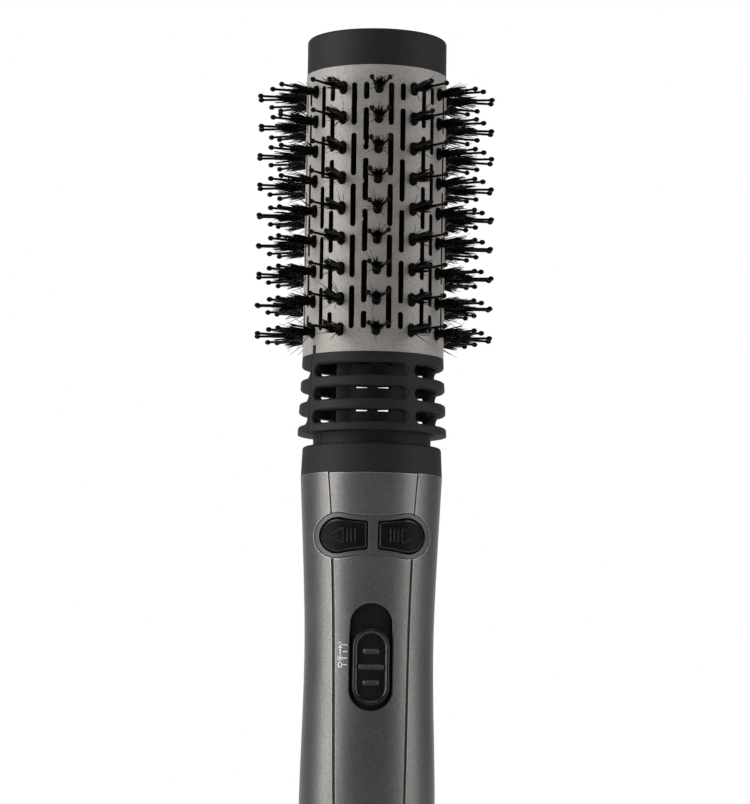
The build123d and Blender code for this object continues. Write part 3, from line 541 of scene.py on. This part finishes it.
def bristle_nylon():
    """Black nylon of the bristles and pins."""
    return speckled_finish(
        "bristle_nylon",
        dark=(0.001, 0.001, 0.0012),
        light=(0.003, 0.003, 0.0035),
        metallic=0.0,
        roughness=0.18,
        grain=2600,
        depth=0.00001,
        specular=0.06,
    )


def print_white():
    """White pad-printed ink."""
    return speckled_finish(
        "print_white",
        dark=(0.82, 0.82, 0.80),
        light=(0.92, 0.92, 0.90),
        metallic=0.0,
        roughness=0.5,
        grain=5200,
        depth=0.000005,
    )


def gloss_black(name, face_shine, edge_shine):
    """Black plastic, finely textured on its faces and polished on its edges."""
    material, tree, shader, place = new_material(name, roughness=0.24)
    shader.inputs["IOR"].default_value = 1.7
    wave = noise(tree, place, scale=160, detail=2.0)
    smudge = noise(tree, place, scale=700, detail=5.0)
    colour = ramp(tree, wave, dark=(0.006, 0.006, 0.0066), light=(0.0095, 0.0095, 0.0105))
    tree.links.new(colour, shader.inputs["Base Color"])
    gloss = remap(tree, smudge, low=0.18, high=0.32)
    tree.links.new(gloss, shader.inputs["Roughness"])
    rounded = bump(tree, shader, wave, depth=0.00002, strength=0.5, softness=polished_edge)
    shine = remap(tree, edge_mask(tree, rounded), face_shine, edge_shine)
    tree.links.new(shine, shader.inputs["Specular IOR Level"])
    return material


def brushed_metal(name, dark, light, roughness, stretch):
    """Drawn or turned metal with fine lines."""
    material, tree, shader, place = new_material(name, roughness, metallic=1.0)
    lines = noise(tree, place, scale=900, detail=4.0, stretch=stretch)
    colour = ramp(tree, lines, dark, light)
    tree.links.new(colour, shader.inputs["Base Color"])
    gloss = remap(tree, lines, roughness - metal_gloss_below, roughness + metal_gloss_above)
    tree.links.new(gloss, shader.inputs["Roughness"])
    bump(tree, shader, lines, depth=0.00001, strength=0.6)
    return material


def steel():
    """Plain steel."""
    return brushed_metal(
        "steel",
        dark=(0.42, 0.42, 0.42),
        light=(0.6, 0.6, 0.6),
        roughness=0.28,
        stretch=(1, 1, 12),
    )


def heater_wire():
    """Nickel-chrome wire, dulled by heat."""
    return brushed_metal(
        "heater_wire",
        dark=(0.2, 0.16, 0.12),
        light=(0.36, 0.32, 0.28),
        roughness=0.42,
        stretch=(3, 3, 3),
    )


def brass():
    """Turned brass."""
    return brushed_metal(
        "brass",
        dark=(0.55, 0.37, 0.12),
        light=(0.7, 0.5, 0.2),
        roughness=0.3,
        stretch=(1, 1, 14),
    )


def mica():
    """Mica laminate: pale brown, in flaky layers."""
    material, tree, shader, place = new_material("mica", roughness=0.38)
    flakes = tree.nodes.new("ShaderNodeTexVoronoi")
    flakes.inputs["Scale"].default_value = 420
    tree.links.new(place, flakes.inputs["Vector"])
    cloud = noise(tree, place, scale=260, detail=5.0)
    colour = ramp(tree, cloud, dark=(0.34, 0.22, 0.10), light=(0.52, 0.38, 0.2))
    tree.links.new(colour, shader.inputs["Base Color"])
    bump(tree, shader, flakes.outputs["Distance"], depth=0.00003, strength=0.6)
    return material


def board_green():
    """Circuit board lacquer over a faint grid of tracks."""
    material, tree, shader, place = new_material("board_green", roughness=0.3)
    tracks = tree.nodes.new("ShaderNodeTexBrick")
    tracks.inputs["Scale"].default_value = 420
    tracks.inputs["Mortar Size"].default_value = 0.03
    tracks.inputs["Color1"].default_value = (0.012, 0.085, 0.03, 1)
    tracks.inputs["Color2"].default_value = (0.016, 0.1, 0.036, 1)
    tracks.inputs["Mortar"].default_value = (0.05, 0.19, 0.07, 1)
    turned = tree.nodes.new("ShaderNodeMapping")
    turned.inputs["Rotation"].default_value = (math.radians(90), 0, 0)
    tree.links.new(place, turned.inputs["Vector"])
    tree.links.new(turned.outputs["Vector"], tracks.inputs["Vector"])
    tree.links.new(tracks.outputs["Color"], shader.inputs["Base Color"])
    bump(tree, shader, tracks.outputs["Fac"], depth=0.00002, strength=0.5)
    return material


# Mesh helpers

def mesh_object(name, mesh_data, material):
    """A new object in the scene from a bmesh."""
    mesh = bpy.data.meshes.new(name)
    mesh_data.to_mesh(mesh)
    mesh_data.free()
    mesh.materials.append(material)
    piece = bpy.data.objects.new(name, mesh)
    bpy.context.scene.collection.objects.link(piece)
    return piece


def soften(mesh, angle):
    """Smooth shading with edges sharper than angle, in degrees, kept crisp."""
    mesh.shade_smooth()
    mesh.set_sharp_from_angle(angle=math.radians(angle))


def skin_rings(bm, rings):
    """Walls between rings of equally many points, closed at both ends."""
    for near, far in zip(rings, rings[1:]):
        for side in range(len(near)):
            following = (side + 1) % len(near)
            bm.faces.new((near[side], near[following], far[following], far[side]))
    bm.faces.new(list(reversed(rings[0])))
    bm.faces.new(rings[-1])


def add_tube(bm, path, radii, sides):
    """A closed tube through the points of a path with a radius at each."""
    across = (path[-1] - path[0]).orthogonal().normalized()
    rings = []
    for index, point in enumerate(path):
        ahead = path[min(index + 1, len(path) - 1)]
        behind = path[max(index - 1, 0)]
        direction = (ahead - behind).normalized()
        side_axis = (across - across.dot(direction) * direction).normalized()
        other = direction.cross(side_axis)
        ring = []
        for side in range(sides):
            turn = 2 * math.pi * side / sides
            offset = radii[index] * (math.cos(turn) * side_axis + math.sin(turn) * other)
            ring.append(bm.verts.new(point + offset))
        rings.append(ring)
    skin_rings(bm, rings)


# Bristles

def add_backing(bm):
    """The curved strip that the tufts stand on, inside the barrel."""
    rows = []
    for height in (strip_bottom, strip_top):
        row = []
        for depth in (backing_inner, backing_outer):
            radius = strip_inner + depth * MM
            for step in range(backing_steps + 1):
                turn = math.radians(strip_half_angle) * (2 * step / backing_steps - 1)
                point = Vector((radius * math.sin(turn), -radius * math.cos(turn), height))
                row.append(bm.verts.new(point))
        rows.append(row)
    count = backing_steps + 1
    last = backing_steps
    low, high = rows
    for step in range(backing_steps):
        bm.faces.new((low[step], high[step], high[step + 1], low[step + 1]))
        start = count + step
        bm.faces.new((low[start + 1], high[start + 1], high[start], low[start]))
        bm.faces.new((low[step + 1], low[start + 1], low[start], low[step]))
        bm.faces.new((high[step], high[start], high[start + 1], high[step + 1]))
    bm.faces.new((low[0], low[count], high[count], high[0]))
    bm.faces.new((high[last], high[count + last], low[count + last], low[last]))


def oval_ring(bm, reach, height, half_width, half_length):
    """The points of an upright oval at some distance in front of the axis."""
    ring = []
    straight = half_length - half_width
    for side in range(foot_sides):
        turn = 2 * math.pi * (side + 0.5) / foot_sides
        end = straight if math.sin(turn) > 0 else -straight
        x = half_width * math.cos(turn)
        z = height + end + half_width * math.sin(turn)
        ring.append(bm.verts.new((x, -reach, z)))
    return ring


def add_foot(bm, height):
    """The oval foot of a tuft, chamfered at its top, with a round collar for the hair."""
    shoulder = foot_rise - foot_chamfer
    top = (foot_half_width - foot_chamfer, foot_half_length - foot_chamfer)
    flare = (bundle_radius + collar_flare_across, bundle_radius + collar_flare_along)
    profile = [
        (strip_inner + foot_sink * MM, foot_half_width, foot_half_length),
        (barrel_radius + shoulder * MM, foot_half_width, foot_half_length),
        (barrel_radius + foot_rise * MM, *top),
        (barrel_radius + (foot_rise + collar_start) * MM, *flare),
        (barrel_radius + (foot_rise + collar_end) * MM, bundle_radius, bundle_radius + collar_flat),
    ]
    rings = []
    for reach, half_width, half_length in profile:
        rings.append(oval_ring(bm, reach, height, half_width * MM, half_length * MM))
    skin_rings(bm, rings)


def add_ball(bm, centre, direction):
    """The slightly long ball on a pin's end."""
    turn = direction.to_track_quat("Z", "Y").to_matrix().to_4x4()
    shape = Matrix.Diagonal((ball_radius * MM, ball_radius * MM, ball_length * MM, 1))
    place = Matrix.Translation(centre) @ turn @ shape
    bmesh.ops.create_uvsphere(
        bm, u_segments=ball_sides, v_segments=ball_rows, radius=1.0, matrix=place
    )


def add_pins(bm, height, rng):
    """Two ball-tipped pins splayed sideways."""
    for side in (-1, 1):
        splay = side * (pin_splay + rng.uniform(pin_splay_low, pin_splay_high)) * MM
        lift = rng.uniform(-pin_lift, pin_lift) * MM
        root = Vector((side * pin_root_shift * MM, -barrel_radius - pin_root_rise * MM, height))
        scatter = rng.uniform(tip_scatter_low, tip_scatter_high)
        tip_reach = bristle_tip - (ball_length + scatter) * MM
        tip = Vector((splay, -tip_reach, height + lift))
        bow = Vector((side * rng.uniform(0.0, pin_bow) * MM, 0, 0))
        near = root.lerp(tip, bow_start) + bow
        far = root.lerp(tip, bow_end) + bow * bow_left
        path = [root, near, far, tip]
        step = (pin_radius_tip - pin_radius_root) * MM / (len(path) - 1)
        radii = [pin_radius_root * MM + step * index for index in range(len(path))]
        add_tube(bm, path, radii, pin_sides)
        add_ball(bm, tip, tip - root)


def add_hair(bm, root, tip, bow, radius):
    """One fine bristle, a little bowed and narrowing to its end."""
    path = [root, root.lerp(tip, 0.5) + bow, tip]
    radii = [radius, radius * hair_middle_share, radius * hair_tip_share]
    add_tube(bm, path, radii, hair_sides)


def scattered(rng, reach):
    """A random shift sideways and up or down, each by reach at most."""
    return Vector((rng.uniform(-reach, reach), 0, rng.uniform(-reach, reach))) * MM


def add_bundle(bm, height, rng):
    """A tuft's bundle of fine bristles with a few strays."""
    centre = Vector((0, -(barrel_radius + foot_rise * MM), height))
    for _ in range(hairs_per_tuft):
        turn = rng.uniform(0, 2 * math.pi)
        share = math.sqrt(rng.random())
        across = Vector((math.cos(turn), 0, math.sin(turn))) * share
        root = centre + across * bundle_radius * hair_root_share * MM
        reach = rng.uniform(hair_reach_low, hair_reach_high) * MM
        widening = bundle_spread * rng.uniform(hair_spread_low, hair_spread_high)
        spread = (bundle_radius + widening) * MM
        tip = Vector((0, -barrel_radius - reach, height)) + across * spread
        tip += scattered(rng, hair_scatter)
        bow = scattered(rng, hair_bow)
        add_hair(bm, root, tip, bow, hair_radius * MM)
    for _ in range(strays_per_tuft):
        turn = rng.uniform(0, 2 * math.pi)
        across = Vector((math.cos(turn), 0, math.sin(turn)))
        root = centre + across * bundle_radius * stray_root_share * MM
        reach = rng.uniform(stray_reach_low, stray_reach_high) * MM
        spread = rng.uniform(stray_spread_low, stray_spread_high)
        tip = Vector((0, -barrel_radius - reach, height)) + across * spread * MM
        bow = across * rng.uniform(stray_bow_low, stray_bow_high) * MM
        add_hair(bm, root, tip, bow, hair_radius * stray_thinness * MM)


def make_bristle_column(index, material):
    """One column of tufts on its strip, built at the front and turned into place."""
    rng = random.Random(first_seed + index)
    bm = bmesh.new()
    add_backing(bm)
    for row in range(tufts_per_column):
        height = first_tuft + row * tuft_pitch
        add_foot(bm, height)
        add_pins(bm, height, rng)
        add_bundle(bm, height, rng)
    bmesh.ops.recalc_face_normals(bm, faces=bm.faces)
    turn = Matrix.Rotation(2 * math.pi * index / columns, 4, "Z")
    bmesh.ops.transform(bm, matrix=turn, verts=bm.verts)
    piece = mesh_object(f"tuft_column_{index + 1:02d}", bm, material)
    soften(piece.data, bristle_crease)
    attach(piece, "brush_head")
    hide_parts(f"bristle_strip_{index + 1:02d}")


# Relief and print laid on curved faces

def surface_of(node):
    """A tree for finding a CAD node's outer face."""
    mesh = frame["nodes"][node].data
    points = [vertex.co.copy() for vertex in mesh.vertices]
    faces = [tuple(face.vertices) for face in mesh.polygons]
    return BVHTree.FromPolygons(points, faces)


def front_of(surface, x, z):
    """The surface's y in metres, met from the front at a place in millimetres."""
    start = Vector((x * MM, -probe_distance * MM, z * MM))
    place = surface.ray_cast(start, Vector((0, 1, 0)))[0]
    return place.y


def add_inlay(bm, surface, outline, height, sunk):
    """A patch with a straight-sided outline, laid on a surface with some thickness."""
    top = []
    foot = []
    for x, z in outline:
        y = front_of(surface, x, z)
        top.append(bm.verts.new((x * MM, y - height * MM, z * MM)))
        foot.append(bm.verts.new((x * MM, y + sunk * MM, z * MM)))
    bm.faces.new(top)
    bm.faces.new(list(reversed(foot)))
    count = len(outline)
    for index in range(count):
        following = (index + 1) % count
        bm.faces.new((top[index], foot[index], foot[following], top[following]))


def stroke(points, width):
    """The quadrilaterals of a line of constant width through points."""
    quads = []
    for (x0, z0), (x1, z1) in zip(points, points[1:]):
        length = math.hypot(x1 - x0, z1 - z0)
        nx = -(z1 - z0) / length * width / 2
        nz = (x1 - x0) / length * width / 2
        quads.append(((x0 + nx, z0 + nz), (x0 - nx, z0 - nz), (x1 - nx, z1 - nz), (x1 + nx, z1 + nz)))
    return quads


def oval_points(centre, half_width, half_height, angles):
    """Points of an upright oval at some angles in degrees."""
    turns = [math.radians(angle) for angle in angles]
    return [(half_width * math.cos(t), centre + half_height * math.sin(t)) for t in turns]


def zero_strokes():
    """A plain 0."""
    angles = range(0, 360 + zero_step, zero_step)
    return [oval_points(0, zero_half_width, zero_half_height, angles)]


def one_strokes():
    """A plain 1."""
    return [one_points]


def two_strokes():
    """A plain 2."""
    angles = range(two_crown_start, two_crown_end - 1, -two_crown_step)
    crown = oval_points(two_crown_centre, two_crown_half_width, two_crown_half_height, angles)
    return [crown + list(two_base)]


def snowflake_strokes():
    """Six spokes from a centre, each with two small barbs."""
    strokes = []
    for spoke in range(flake_spokes):
        turn = math.radians(flake_turn + 360 * spoke / flake_spokes)
        tip = (flake_reach * math.cos(turn), flake_reach * math.sin(turn))
        strokes.append([(0, 0), tip])
        joint = (flake_joint * math.cos(turn), flake_joint * math.sin(turn))
        for side in (-1, 1):
            barb = turn + side * math.radians(flake_spread)
            end = (joint[0] + flake_barb * math.cos(barb), joint[1] + flake_barb * math.sin(barb))
            strokes.append([joint, end])
    return strokes


def make_printed_marks(material):
    """The numerals 0, 1 and 2, the cool-air snowflake and their ticks."""
    surface = surface_of("control_fascia")
    bm = bmesh.new()
    symbols = (
        (zero_strokes(), figure_thickness),
        (snowflake_strokes(), flake_thickness),
        (one_strokes(), figure_thickness),
        (two_strokes(), figure_thickness),
    )
    for level, (symbol, thickness) in zip(mark_levels, symbols):
        for line in symbol:
            placed = [(mark_x + x * mark_height, level + z * mark_height) for x, z in line]
            for quad in stroke(placed, thickness):
                add_inlay(bm, surface, quad, print_thickness, print_sink)
        tick = stroke([(tick_start, level), (tick_end, level)], tick_thickness)[0]
        add_inlay(bm, surface, tick, print_thickness, print_sink)
    bmesh.ops.recalc_face_normals(bm, faces=bm.faces)
    piece = mesh_object("printed_marks", bm, material)
    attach(piece, "handle")


def make_button_relief(name, node, body, side, material):
    """Three bars and an arrowhead raised on a direction button."""
    surface = surface_of(node)
    bm = bmesh.new()
    low = button_height - bar_height / 2
    high = button_height + bar_height / 2
    for position in bar_positions:
        x = side * position
        for quad in stroke([(x, low), (x, button_height), (x, high)], bar_width):
            add_inlay(bm, surface, quad, relief_height, relief_sink)
    corners = [
        (side * arrow_base, button_height - arrow_half_height),
        (side * arrow_tip, button_height),
        (side * arrow_base, button_height + arrow_half_height),
        (side * arrow_base, button_height - arrow_half_height),
    ]
    for quad in stroke(corners, bar_width):
        add_inlay(bm, surface, quad, relief_height, relief_sink)
    bmesh.ops.recalc_face_normals(bm, faces=bm.faces)
    piece = mesh_object(name, bm, material)
    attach(piece, body)


def make_knob_ridges(material):
    """The three rounded ridges across the slide knob, tapering to their ends."""
    surface = surface_of("slide_knob")
    bm = bmesh.new()
    for step, length in ((-1, short_ridge), (0, long_ridge), (1, short_ridge)):
        height = knob_centre_height + step * ridge_pitch
        path = []
        radii = []
        for index in range(ridge_points):
            share = 2 * index / (ridge_points - 1) - 1
            x = share * length / 2
            y = front_of(surface, x * ridge_probe, height)
            path.append(Vector((x * MM, y + ridge_sink * MM, height * MM)))
            radii.append(ridge_radius * math.sqrt(1 - (share * ridge_taper) ** 2) * MM)
        add_tube(bm, path, radii, ridge_sides)
    bmesh.ops.recalc_face_normals(bm, faces=bm.faces)
    piece = mesh_object("knob_ridges", bm, material)
    soften(piece.data, ridge_crease)
    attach(piece, "power_switch")


# Stage

def make_world():
    """White to the camera; darker in front than behind for reflections and light."""
    world = bpy.data.worlds.new("studio")
    bpy.context.scene.world = world
    world.use_nodes = True
    tree = world.node_tree
    background = tree.nodes["Background"]
    background.inputs["Color"].default_value = (1, 1, 1, 1)
    path = tree.nodes.new("ShaderNodeLightPath")
    place = tree.nodes.new("ShaderNodeTexCoord")
    split = tree.nodes.new("ShaderNodeSeparateXYZ")
    tree.links.new(place.outputs["Generated"], split.inputs["Vector"])
    room = remap(tree, split.outputs["Y"], room_front, room_back, room_change_start, room_change_end)
    seen = combine(tree, "MAXIMUM", path.outputs["Is Camera Ray"], path.outputs["Is Transmission Ray"])
    node, first, second, strength = mix_node(tree, "FLOAT")
    tree.links.new(seen, node.inputs["Factor"])
    tree.links.new(room, first)
    second.default_value = 1.0
    tree.links.new(strength, background.inputs["Strength"])


def make_floor():
    """A pale floor that keeps the shadow and fades to the white around it."""
    material = bpy.data.materials.new("floor_paper")
    material.use_nodes = True
    tree = material.node_tree
    shader = tree.nodes["Principled BSDF"]
    shader.inputs["Base Color"].default_value = (0.86, 0.86, 0.86, 1)
    shader.inputs["Roughness"].default_value = 0.9
    glow = tree.nodes.new("ShaderNodeEmission")
    glow.inputs["Strength"].default_value = 1.0
    place = tree.nodes.new("ShaderNodeTexCoord")
    reach = vector_length(tree, place.outputs["Object"])
    white = remap(tree, reach, floor_white_near, floor_white_far, floor_near, floor_far)
    path = tree.nodes.new("ShaderNodeLightPath")
    seen = combine(tree, "MAXIMUM", path.outputs["Is Camera Ray"], path.outputs["Is Glossy Ray"])
    mix = tree.nodes.new("ShaderNodeMixShader")
    tree.links.new(combine(tree, "MULTIPLY", white, seen), mix.inputs["Fac"])
    tree.links.new(shader.outputs["BSDF"], mix.inputs[1])
    tree.links.new(glow.outputs["Emission"], mix.inputs[2])
    tree.links.new(mix.outputs["Shader"], tree.nodes["Material Output"].inputs["Surface"])
    bm = bmesh.new()
    bmesh.ops.create_grid(bm, x_segments=2, y_segments=2, size=floor_size)
    floor = mesh_object("floor", bm, material)


def make_lamp(name, place, size, power):
    """A soft rectangular lamp that faces the object's middle."""
    lamp = bpy.data.lights.new(name, "AREA")
    lamp.shape = "RECTANGLE"
    lamp.size = size[0]
    lamp.size_y = size[1]
    lamp.energy = power
    holder = bpy.data.objects.new(name, lamp)
    holder.location = place
    facing = Vector(lamp_aim) - Vector(place)
    holder.rotation_euler = facing.to_track_quat("-Z", "Y").to_euler()
    bpy.context.scene.collection.objects.link(holder)


def make_camera():
    """The photograph's viewpoint: a long lens, low, looking up a little."""
    turn = math.radians(camera_azimuth)
    side = camera_distance * math.sin(turn)
    depth = -camera_distance * math.cos(turn)
    place = Vector((side, depth, camera_height))
    aim = Vector((aim_shift, 0, aim_height))
    look = (aim - place).to_track_quat("-Z", "Y").to_matrix().to_4x4()
    roll = Matrix.Rotation(math.radians(camera_roll), 4, "Z")
    data = bpy.data.cameras.new("camera")
    data.lens = camera_lens
    data.sensor_width = sensor_width
    data.clip_start = clip_near
    data.clip_end = clip_far
    camera = bpy.data.objects.new("camera", data)
    camera.matrix_world = Matrix.Translation(place * MM) @ look @ roll
    bpy.context.scene.collection.objects.link(camera)
    bpy.context.scene.camera = camera


# The whole scene

def dress_cad():
    """Give each CAD node a finish, and return the finishes by slot."""
    materials = {
        "satin_black": satin_black(),
        "barrel_coat": barrel_coat(),
        "metallic_paint": metallic_paint(),
        "gloss_black": gloss_black("gloss_black", face_shine=0.01, edge_shine=1.0),
        "bristle_nylon": bristle_nylon(),
        "inner_black": inner_black(),
        "gear_plastic": gear_plastic(),
        "board_green": board_green(),
        "mica": mica(),
        "heater_wire": heater_wire(),
        "steel": steel(),
        "brass": brass(),
    }
    for row in frame["record"]["subparts"]:
        mesh = frame["nodes"][row["node"]].data
        mesh.materials.clear()
        mesh.materials.append(materials[row["material_slot"]])
        soften(mesh, cad_crease)
    frame["nodes"]["button_bezel"].data.materials[0] = bezel_paint()
    polished = gloss_black("polished_black", face_shine=0.07, edge_shine=0.42)
    frame["nodes"]["slide_knob"].data.materials[0] = polished
    frame["nodes"]["switch_track"].data.materials[0] = polished
    return materials


def main():
    """Dress the CAD nodes, add the modelled pieces, and set the stage."""
    bpy.context.scene.view_settings.view_transform = "Standard"
    materials = dress_cad()
    for index in range(columns):
        make_bristle_column(index, materials["bristle_nylon"])
    make_printed_marks(print_white())
    relief = gloss_black("relief_black", face_shine=0.02, edge_shine=0.12)
    make_button_relief("left_button_relief", "left_button", "button_left", -1, relief)
    make_button_relief("right_button_relief", "right_button", "button_right", 1, relief)
    make_knob_ridges(gloss_black("ridge_black", face_shine=0.3, edge_shine=0.6))
    make_floor()
    make_world()
    for name, place, size, power in lamps:
        make_lamp(name, place, size, power)
    make_camera()


main()
